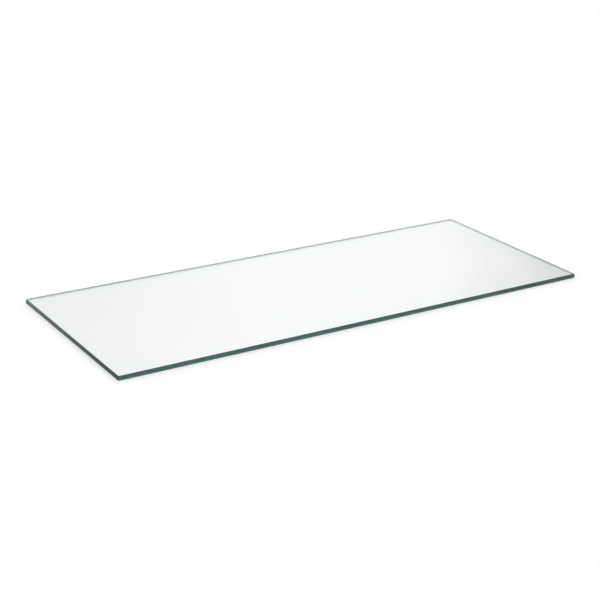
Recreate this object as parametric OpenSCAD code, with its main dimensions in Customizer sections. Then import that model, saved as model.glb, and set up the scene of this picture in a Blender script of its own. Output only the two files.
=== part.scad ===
// Cover for a fridge's crisper drawer: one flat pane of toughened glass with
// rounded edges and corners. It lies on the ledges above the drawer.
// The origin is the middle of the underside, +X runs to the right, +Y to the
// back of the fridge and +Z up. All sizes are in millimetres.

/* [Pane] */
// Length of the pane, from the left edge to the right edge
pane_length = 450; // [300:5:600]
// Depth of the pane, from the front edge to the back edge
pane_depth = 182; // [120:2:400]
// Thickness of the glass
glass_thickness = 4; // [3:0.5:6]

/* [Ground edges] */
// Radius of each of the four corners, seen from above
corner_radius = 2.5; // [2:0.5:20]
// How far the ground edge's arc stands out from the rims of the two faces
edge_bulge = 0.9; // [0.3:0.1:1.4]

/* [Hidden] */
$fn = 96;

// Distance of the corner centres from the pane's middle, along X and along Y
corner_x = pane_length / 2 - corner_radius;
corner_y = pane_depth / 2 - corner_radius;
// Radius of the arc through both rims and the edge's outermost line
edge_radius = (pow(glass_thickness / 2, 2) + pow(edge_bulge, 2)) / (2 * edge_bulge);
// Angle that the arc turns through, from the edge's outermost line to a rim
rim_angle = asin(glass_thickness / 2 / edge_radius);
arc_steps = 10;
glass_tint = [0.80, 0.90, 0.88, 0.35];

// Right half of the pane's cross-section, from the middle out to the ground edge
module half_section(reach) {
    ground_arc = [
        for (step = [0 : arc_steps])
            let (angle = rim_angle * (2 * step / arc_steps - 1))
                [reach + edge_radius * (cos(angle) - 1), glass_thickness / 2 + edge_radius * sin(angle)]
    ];
    polygon(concat([[0, 0]], ground_arc, [[0, glass_thickness]]));
}

// Whole cross-section of a straight stretch of the pane
module full_section(reach) {
    half_section(reach);
    mirror([1, 0]) half_section(reach);
}

// Straight stretch along X: its front and back edges are ground
module front_to_back_slab() {
    rotate([90, 0, 90])
        linear_extrude(2 * corner_x, center = true)
            full_section(pane_depth / 2);
}

// Straight stretch along Y: its left and right edges are ground
module side_to_side_slab() {
    rotate([90, 0, 0])
        linear_extrude(2 * corner_y, center = true)
            full_section(pane_length / 2);
}

// One rounded corner, with the ground edge carried round it
module round_corner() {
    rotate_extrude()
        half_section(corner_radius);
}

// The whole pane, one piece of glass
module glass_pane() {
    color(glass_tint)
        union() {
            front_to_back_slab();
            side_to_side_slab();
            for (x = [-corner_x, corner_x], y = [-corner_y, corner_y])
                translate([x, y, 0])
                    round_corner();
        }
}

glass_pane();
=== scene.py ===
import math

import bmesh
import bpy
import numpy as np
from mathutils import Matrix, Vector


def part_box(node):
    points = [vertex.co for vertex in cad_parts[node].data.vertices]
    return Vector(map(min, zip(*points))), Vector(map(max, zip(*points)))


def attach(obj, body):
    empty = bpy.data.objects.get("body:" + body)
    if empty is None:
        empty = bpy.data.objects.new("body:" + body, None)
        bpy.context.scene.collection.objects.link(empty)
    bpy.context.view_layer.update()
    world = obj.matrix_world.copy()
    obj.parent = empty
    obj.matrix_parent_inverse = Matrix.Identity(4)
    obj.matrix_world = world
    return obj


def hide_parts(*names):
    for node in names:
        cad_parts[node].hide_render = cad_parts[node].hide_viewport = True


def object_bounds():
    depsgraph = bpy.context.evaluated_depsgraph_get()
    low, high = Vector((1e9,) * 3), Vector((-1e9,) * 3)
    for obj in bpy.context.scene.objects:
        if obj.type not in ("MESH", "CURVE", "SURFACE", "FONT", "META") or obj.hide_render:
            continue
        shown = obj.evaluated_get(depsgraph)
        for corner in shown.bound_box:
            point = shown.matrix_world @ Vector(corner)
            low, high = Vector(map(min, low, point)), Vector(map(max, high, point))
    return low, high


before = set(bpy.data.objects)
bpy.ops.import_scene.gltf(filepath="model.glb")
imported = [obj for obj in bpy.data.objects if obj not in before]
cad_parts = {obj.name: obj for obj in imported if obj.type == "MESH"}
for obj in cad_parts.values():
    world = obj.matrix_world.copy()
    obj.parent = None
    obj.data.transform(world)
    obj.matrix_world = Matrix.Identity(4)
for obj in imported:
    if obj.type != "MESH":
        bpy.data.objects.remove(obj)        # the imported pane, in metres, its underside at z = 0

scene = bpy.context.scene
packedLow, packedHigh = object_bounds()
mm = 0.001


# A node tree's socket as a Python value. Arithmetic on it adds Math nodes.
class Wire:
    def __init__(self, tree, socket=None):
        self.tree = tree
        self.socket = socket

    # one node of any kind: its settings first, then its sockets' values or links
    def node(self, kind, settings=None, inputs=None, output=0):
        made = self.tree.nodes.new(kind)
        for name, value in (settings or {}).items():
            if name == "stops":
                ramp = made.color_ramp
                ramp.interpolation = "EASE"
                while len(ramp.elements) < len(value):
                    ramp.elements.new(1)
                for stop, (place, level) in zip(ramp.elements, value):
                    stop.position = place
                    stop.color = (level, level, level, 1)
            else:
                setattr(made, name, value)
        for name, value in (inputs or {}).items():
            if isinstance(value, Wire):
                self.tree.links.new(value.socket, made.inputs[name])
            else:
                made.inputs[name].default_value = value
        return Wire(self.tree, made.outputs[output] if made.outputs else None)

    def maths(self, operation, *values):
        inputs = dict(enumerate(values))
        return self.node("ShaderNodeMath", {"operation": operation}, inputs)

    def __add__(self, other):
        return self.maths("ADD", self, other)

    __radd__ = __add__

    def __sub__(self, other):
        return self.maths("SUBTRACT", self, other)

    def __rsub__(self, other):
        return self.maths("SUBTRACT", other, self)

    def __mul__(self, other):
        return self.maths("MULTIPLY", self, other)

    __rmul__ = __mul__

    # 0 below low, 1 above high, and a soft step between them
    def rise(self, low, high):
        settings = {"interpolation_type": "SMOOTHSTEP"}
        inputs = {"Value": self, "From Min": low, "From Max": high}
        return self.node("ShaderNodeMapRange", settings, inputs)

    # x, y and z of a vector
    def parts(self):
        return [
            self.node("ShaderNodeSeparateXYZ", None, {0: self}, output)
            for output in range(3)
        ]

    # a vector from three values
    def vector(self, x, y, z):
        return self.node("ShaderNodeCombineXYZ", None, {"X": x, "Y": y, "Z": z})

    # soft random values from 0 to 1
    def noise(self, place, scale, detail=2.0, roughness=0.5):
        inputs = {"Vector": place, "Scale": scale, "Detail": detail, "Roughness": roughness}
        return self.node("ShaderNodeTexNoise", None, inputs)

    # colour a where share is 0 and colour b where it is 1
    def blend(self, a, b, share):
        settings = {"data_type": "RGBA"}
        return self.node("ShaderNodeMix", settings, {0: share, 6: a, 7: b}, 2)


def newTree(holder):
    holder.use_nodes = True
    holder.node_tree.nodes.clear()
    return Wire(holder.node_tree)


print("pane: working out the surface")

paneLook = {
    "cornerRadius": 2.5 * mm,
    "bulge": 0.9 * mm,            # how far the ground arc stands out from the rims
    "wander": 0.10,               # how far the grinding strays, as a share of the bulge
    "shortEdges": 0.6,            # how much deeper the left and right edges are ground
    "strayWaves": [(7, 1.0, 0.4), (17, 0.6, 2.1), (41, 0.4, 4.0)],   # turns, height, phase
    "rollerWave": 0.015 * mm,     # height of the waves that toughening leaves
    "waveLength": 160 * mm,
    "waveSlant": 3,               # radians that the waves turn through per metre of depth
    "calmRim": 20 * mm,           # how far in from the outline the waves are full
    "step": 6 * mm,               # between points on the straight edges
    "cornerSteps": 14,
    "faceRings": 14,
    "edgeRows": 16,
    "mergeWithin": 0.001 * mm,
    "sharpFrom": 25,              # degrees between faces, past which their shared edge is sharp
}


# The outline seen from above: each point is its corner's centre plus the radius times the
# outward direction (cos turn, sin turn). It is four quarter circles joined by straight runs,
# anticlockwise from the front edge's left end. Returns each point's corner centre, its
# outward direction and its distance along the outline.
def outline(length, depth, radius, step, cornerSteps):
    halfX, halfY = length / 2 - radius, depth / 2 - radius
    centres, turns = [], []
    corners = [(halfX, -halfY), (halfX, halfY), (-halfX, halfY), (-halfX, -halfY)]
    previous = np.array(corners[-1])
    for index, corner in enumerate(corners):
        corner = np.array(corner)
        start = math.radians(90 * (index - 1))
        count = int(round(np.linalg.norm(corner - previous) / step))
        share = np.linspace(0, 1, count, endpoint=False)[1:, None]
        centres.append(previous + share * (corner - previous))
        turns.append(np.full(count - 1, start))
        centres.append(np.repeat(corner[None, :], cornerSteps + 1, 0))
        turns.append(start + np.linspace(0, math.pi / 2, cornerSteps + 1))
        previous = corner
    centres, turns = np.concatenate(centres), np.concatenate(turns)
    outward = np.stack([np.cos(turns), np.sin(turns)], 1)
    points = centres + radius * outward
    gaps = np.linalg.norm(np.roll(points, -1, 0) - points, axis=1)
    return centres, outward, np.concatenate([[0], np.cumsum(gaps)])


# The whole pane as one grid. The columns follow the outline. The rows run from a line along
# the middle of the top face out to the rim, round the edge's arc, and back to a line along
# the middle of the underside. The arc goes through both rims and the edge's outermost line:
# its radius is ((height / 2)^2 + bulge^2) / (2 bulge). A point at an angle on it is drawn in
# by radius (1 - cos angle) from the outline, and it is radius sin angle above mid-height.
def paneMesh(look):
    low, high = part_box("glass_pane")
    length, depth, height = high - low
    centres, outward, run = outline(
        length, depth, look["cornerRadius"], look["step"], look["cornerSteps"]
    )
    around = 2 * math.pi * run[:-1] / run[-1]
    waves = [size * np.sin(turns * around + phase) for turns, size, phase in look["strayWaves"]]
    stray = look["wander"] * sum(waves) / 2

    # the edge's rows: an arc from the top rim to the bottom rim
    bulge = look["bulge"]
    arcRadius = ((height / 2) ** 2 + bulge ** 2) / (2 * bulge)
    rimAngle = math.asin(height / 2 / arcRadius)
    tilt = np.linspace(rimAngle, -rimAngle, look["edgeRows"] + 1)[:, None]
    drawnIn = arcRadius * (1 - np.cos(tilt))
    deeper = 1 + look["shortEdges"] * outward[:, 0] ** 2
    inset = drawnIn * (deeper + np.where(tilt > 0, stray, np.roll(stray, len(stray) // 3)))
    rise = np.broadcast_to(height / 2 + arcRadius * np.sin(tilt), inset.shape)
    reach = look["cornerRadius"] - inset
    edge = centres + reach[..., None] * outward

    # each face's rings: from the rim to a line along the middle of the pane
    spine = np.stack(
        [np.clip(edge[0, :, 0], depth / 2 - length / 2, length / 2 - depth / 2),
         np.zeros(len(run) - 1)], 1
    )
    share = np.linspace(0, 1, look["faceRings"] + 1)[1:, None, None]
    topFace = edge[0] + share * (spine - edge[0])
    underFace = edge[-1] + share * (spine - edge[-1])
    flat = np.concatenate([topFace[::-1], edge, underFace])
    level = np.concatenate(
        [np.full(topFace.shape[:2], height), rise, np.zeros(underFace.shape[:2])]
    )
    places = np.concatenate([flat, level[..., None]], 2)

    # roller waves across the pane, fading out at the rim so that the edges stay true
    fade = np.minimum(depth / 2 - np.abs(flat[..., 1]), length / 2 - np.abs(flat[..., 0]))
    fade = np.clip(fade / look["calmRim"], 0, 1)
    phase = 2 * math.pi * flat[..., 0] / look["waveLength"] + look["waveSlant"] * flat[..., 1]
    places[..., 2] += look["rollerWave"] * np.sin(phase) * fade * fade * (3 - 2 * fade)
    places[..., :2] += np.array([(low.x + high.x) / 2, (low.y + high.y) / 2])
    places[..., 2] += low.z

    # metres down the section: below 0 on the top face, 0 at its rim, and past edgeDepth
    # on the underside
    edgeDepth = 2 * arcRadius * rimAngle
    down = np.concatenate([
        ((topFace - edge[0]) * outward).sum(2)[::-1],
        np.broadcast_to(np.linspace(0, edgeDepth, look["edgeRows"] + 1)[:, None], inset.shape),
        edgeDepth - ((underFace - edge[-1]) * outward).sum(2),
    ])

    rows, columns = places.shape[:2]
    row, column = np.meshgrid(np.arange(rows - 1), np.arange(columns), indexing="ij")
    after = (column + 1) % columns
    quads = np.stack(
        [row * columns + column, (row + 1) * columns + column,
         (row + 1) * columns + after, row * columns + after], -1
    ).reshape(-1, 4)
    mesh = bpy.data.meshes.new("glassPane")
    mesh.from_pydata(places.reshape(-1, 3).tolist(), [], quads.tolist())

    # the UV map holds metres: along the outline, and down the section
    along = np.stack([run[column], run[column], run[column + 1], run[column + 1]], -1)
    across = down.ravel()[quads].reshape(along.shape)
    layer = mesh.uv_layers.new(name="edgeRun")
    layer.uv.foreach_set("vector", np.stack([along, across], -1).ravel())
    return mesh, edgeDepth


# The rows' ends lie double along the middle of each face, and are merged there.
def closeSpine(mesh, look):
    sheet = bmesh.new()
    sheet.from_mesh(mesh)
    bmesh.ops.remove_doubles(sheet, verts=sheet.verts, dist=look["mergeWithin"])
    sheet.to_mesh(mesh)
    sheet.free()
    mesh.shade_smooth()
    mesh.set_sharp_from_angle(angle=math.radians(look["sharpFrom"]))


paneSurface, edgeDepth = paneMesh(paneLook)
closeSpine(paneSurface, paneLook)
pane = bpy.data.objects.new("glassPane", paneSurface)
scene.collection.objects.link(pane)


print("pane: glass and ground edge")

glassLook = {
    "ior": 1.52,
    "lostPerMetre": (9.2, 6.5, 6.8),      # red, green and blue
    "faceTint": (1, 1, 1),
    "groundTint": (0.46, 0.66, 0.62),
    "streakTint": (0.62, 0.76, 0.73),
    "faceRoughness": 0.0,
    "groundRoughness": 0.30,
    "grainRoughness": 0.15,               # how much the grain varies it
    "streaksPerMetre": 9,                 # along the edge
    "grainsPerMetre": 1400,
    "finePerMetre": 2600,                 # across the edge, of streaks and grain
    "scuffed": 0.4 * mm,                  # how far the grinding marks reach on to the faces
    "matt": 0.25,                         # how much of the ground edge is dull
    "mattStreaks": (0.6, 1.4),            # that share's factor, between and on the streaks
    "mattColour": (0.04, 0.11, 0.10),
    "mattRoughness": 0.7,
    "mattShine": 0.1,
}


def glassMaterial(look, edgeDepth):
    material = bpy.data.materials.new("clearGlass")
    tree = newTree(material)
    run, down, _ = tree.node("ShaderNodeUVMap", {"uv_map": "edgeRun"}).parts()
    scuffed = look["scuffed"]
    ground = down.rise(-scuffed, 0) * (1 - down.rise(edgeDepth, edgeDepth + scuffed))

    # grinding streaks: long along the edge and fine across it
    across = down * look["finePerMetre"]
    streak = tree.noise(tree.vector(run * look["streaksPerMetre"], across, 0), 1.0, 4, 0.6)
    grain = tree.noise(tree.vector(run * look["grainsPerMetre"], across, 0), 1.0, 2)
    tint = tree.blend(
        (*look["groundTint"], 1), (*look["streakTint"], 1), streak.rise(0.45, 0.75)
    )
    colour = tree.blend((*look["faceTint"], 1), tint, ground)
    uneven = look["grainRoughness"] * (grain - 0.5)
    roughness = ground * (look["groundRoughness"] + uneven) + look["faceRoughness"]

    glass = tree.node("ShaderNodeBsdfPrincipled", None, {
        "Base Color": colour,
        "Roughness": roughness,
        "IOR": look["ior"],
        "Transmission Weight": 1.0,
    })
    dull = tree.node("ShaderNodeBsdfPrincipled", None, {
        "Base Color": (*look["mattColour"], 1),
        "Roughness": look["mattRoughness"],
        "Specular IOR Level": look["mattShine"],
    })
    least, most = look["mattStreaks"]
    surface = tree.node("ShaderNodeMixShader", None, {
        0: ground * look["matt"] * (least + (most - least) * streak),
        1: glass,
        2: dull,
    })
    # absorption takes density (1 - colour) per metre
    density = max(look["lostPerMetre"]) * 1.2
    taken = [1 - lost / density for lost in look["lostPerMetre"]]
    volume = tree.node("ShaderNodeVolumeAbsorption", None, {
        "Color": (*taken, 1),
        "Density": density,
    })
    tree.node("ShaderNodeOutputMaterial", None, {"Surface": surface, "Volume": volume})
    return material


paneSurface.materials.append(glassMaterial(glassLook, edgeDepth))
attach(pane, "root")
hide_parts("glass_pane")


print("studio: floor, light and camera")

studioLook = {
    "floorColour": 0.6,
    "floorLift": 0.43,            # added for the camera only, so that the floor shows white
    "floorDrop": 0.3 * mm,        # the air under the pane
    "floorSize": 60.0,
    "mottle": 0.01,               # how much the floor's grey varies
    "mottlesPerMetre": 14.0,
    "squares": 8,                 # of the floor's grid, each way
}


def floorMaterial(look):
    material = bpy.data.materials.new("studioFloor")
    tree = newTree(material)
    grey = look["floorColour"]
    paths = [tree.node("ShaderNodeLightPath", None, None, name)
             for name in ("Is Camera Ray", "Is Glossy Ray", "Is Transmission Ray")]
    seen = paths[0].maths("MAXIMUM", paths[0], paths[1].maths("MAXIMUM", paths[1], paths[2]))
    place = tree.node("ShaderNodeTexCoord", None, None, "Object")
    mottle = tree.noise(place, look["mottlesPerMetre"], 3)
    matt = tree.node("ShaderNodeBsdfDiffuse", None, {
        "Color": tree.vector(*[grey + look["mottle"] * (mottle - 0.5)] * 3),
    })
    lift = tree.node("ShaderNodeEmission", None, {"Strength": seen * look["floorLift"]})
    surface = tree.node("ShaderNodeAddShader", None, {0: matt, 1: lift})
    tree.node("ShaderNodeOutputMaterial", None, {"Surface": surface})
    return material


def makeFloor(look):
    half, squares = look["floorSize"] / 2, look["squares"]
    line = np.linspace(-half, half, squares + 1)
    u, v = np.meshgrid(line, line)
    places = np.stack([u, v, np.full_like(u, -look["floorDrop"])], -1).reshape(-1, 3)
    row, column = np.meshgrid(np.arange(squares), np.arange(squares), indexing="ij")
    first = (row * (squares + 1) + column).ravel()
    quads = np.stack([first, first + 1, first + squares + 2, first + squares + 1], -1)
    mesh = bpy.data.meshes.new("studioFloor")
    mesh.from_pydata(places.tolist(), [], quads.tolist())
    mesh.materials.append(floorMaterial(look))
    floor = bpy.data.objects.new("studioFloor", mesh)
    scene.collection.objects.link(floor)


lightLook = {
    "level": 1.0,                 # of the light from above
    # the low light round the studio that the pane mirrors, by degrees to the right of
    # straight behind it
    "levels": [(-20, 1.0), (8, 0.66), (20, 0.68), (31, 1.0), (37.5, 1.0), (44.5, 0.2),
               (70, 0.2), (110, 1.0)],
    "drift": 4,                   # how many degrees the levels' bounds stray
    "drifts": 22.0,               # how finely they stray
    "lowTo": (0.45, 0.75),        # the sine of the height over which that light ends
}


def makeWorld(look):
    world = bpy.data.worlds.new("studio")
    scene.world = world
    tree = newTree(world)
    way = tree.node("ShaderNodeTexCoord", None, None, "Generated")
    x, y, z = way.parts()
    turn = x.maths("ARCTAN2", x, y) * (180 / math.pi)      # 0 behind the pane, 90 to its right
    cloud = tree.noise(way, look["drifts"], 3)
    stops = [((degrees + 180) / 360, level) for degrees, level in look["levels"]]
    place = (turn + look["drift"] * (cloud - 0.5) + 180) * (1 / 360)
    inside = tree.node("ShaderNodeValToRGB", {"stops": stops}, {0: place})
    level = look["level"] + (inside - look["level"]) * (1 - z.rise(*look["lowTo"]))
    camera = tree.node("ShaderNodeLightPath", None, None, "Is Camera Ray")
    background = tree.node("ShaderNodeBackground", None, {
        "Color": (1, 1, 1, 1),
        "Strength": camera + (1 - camera) * level,
    })
    tree.node("ShaderNodeOutputWorld", None, {"Surface": background})


cameraLook = {
    "azimuth": -32.281,           # round the pane, 0 in front of it
    "elevation": 21.264,
    "roll": -1.036,
    "distance": 1235.1 * mm,      # from the pane's middle, along the line of sight
    "right": 8.04 * mm,           # of the pane's middle, from the picture's centre
    "above": 12.13 * mm,
    "lens": 85.49,
}


def makeCamera(look):
    a, e = math.radians(look["azimuth"]), math.radians(look["elevation"])
    back = Vector((math.sin(a) * math.cos(e), -math.cos(a) * math.cos(e), math.sin(e)))
    turned = (-back).to_track_quat("-Z", "Y") @ Matrix.Rotation(
        math.radians(-look["roll"]), 3, "Z"
    ).to_quaternion()
    middle = Vector((0, 0, packedHigh.z))
    offset = Vector((look["right"], look["above"], -look["distance"]))
    data = bpy.data.cameras.new("camera")
    data.lens = look["lens"]
    data.clip_start = 0.01
    camera = bpy.data.objects.new("camera", data)
    camera.rotation_mode = "QUATERNION"
    camera.rotation_quaternion = turned
    camera.location = middle - turned @ offset
    scene.collection.objects.link(camera)
    scene.camera = camera


makeFloor(studioLook)
makeWorld(lightLook)
makeCamera(cameraLook)
scene.view_settings.view_transform = "Standard"
scene.cycles.max_bounces = 40
scene.cycles.glossy_bounces = 32      # light crosses the pane between its faces many times
scene.cycles.transmission_bounces = 16
scene.cycles.blur_glossy = 0          # so that the light under the pane is as bright as it should be
